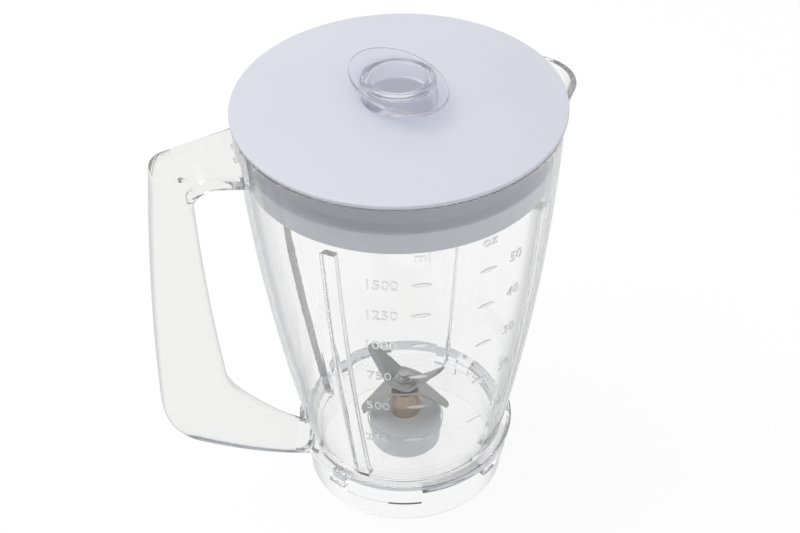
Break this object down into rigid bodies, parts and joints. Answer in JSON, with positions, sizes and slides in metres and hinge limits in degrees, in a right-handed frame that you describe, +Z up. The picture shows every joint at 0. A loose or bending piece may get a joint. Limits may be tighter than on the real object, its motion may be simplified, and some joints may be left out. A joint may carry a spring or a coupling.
{
  "type": "blender jar",
  "caption": "Clear tapered blender jar with pouring spout, hollow handle, bayonet foot, opaque lid, clear filler cap and a spinning blade unit driven from below.",
  "frame": {"origin": "bottom centre of the skirt, on the spindle's axis", "axes": "+Z up along the spindle, +X towards the spout, handle at -X, measuring scale at -Y"},
  "size_m": [0.2029, 0.1476, 0.2299],
  "materials": {
    "clear_plastic": "clear injection-moulded styrene plastic, polished",
    "lid_plastic": "opaque pale lavender moulded plastic, satin",
    "seal_rubber": "pale lavender-grey soft rubber, satin",
    "sintered_bronze": "oil-filled sintered bronze, dull",
    "dark_rubber": "dark rubber, matte",
    "spindle_steel": "turned stainless steel",
    "blade_steel": "stamped stainless steel, matte grey",
    "washer_plastic": "natural nylon",
    "coupling_plastic": "mid-grey moulded plastic, matte"
  },
  "bodies": {
    "jar_body": {"jar": "clear_plastic", "lid": "lid_plastic", "lid_seal": "seal_rubber", "filler_cap": "clear_plastic", "bearing_bush": "sintered_bronze", "shaft_seal": "dark_rubber"},
    "rotor": {"spindle": "spindle_steel", "lower_blade": "blade_steel", "blade_spacer": "spindle_steel", "upper_blade": "blade_steel", "blade_washer": "spindle_steel", "blade_nut": "spindle_steel", "thrust_washer": "washer_plastic", "coupling_insert": "spindle_steel", "drive_coupling": "coupling_plastic"}
  },
  "joints": [
    {"name": "blade_spin", "type": "hinge", "parent": "jar_body", "child": "rotor", "pos_m": [0, 0, 0.0365], "axis": [0, 0, 1], "continuous": true}
  ]
}
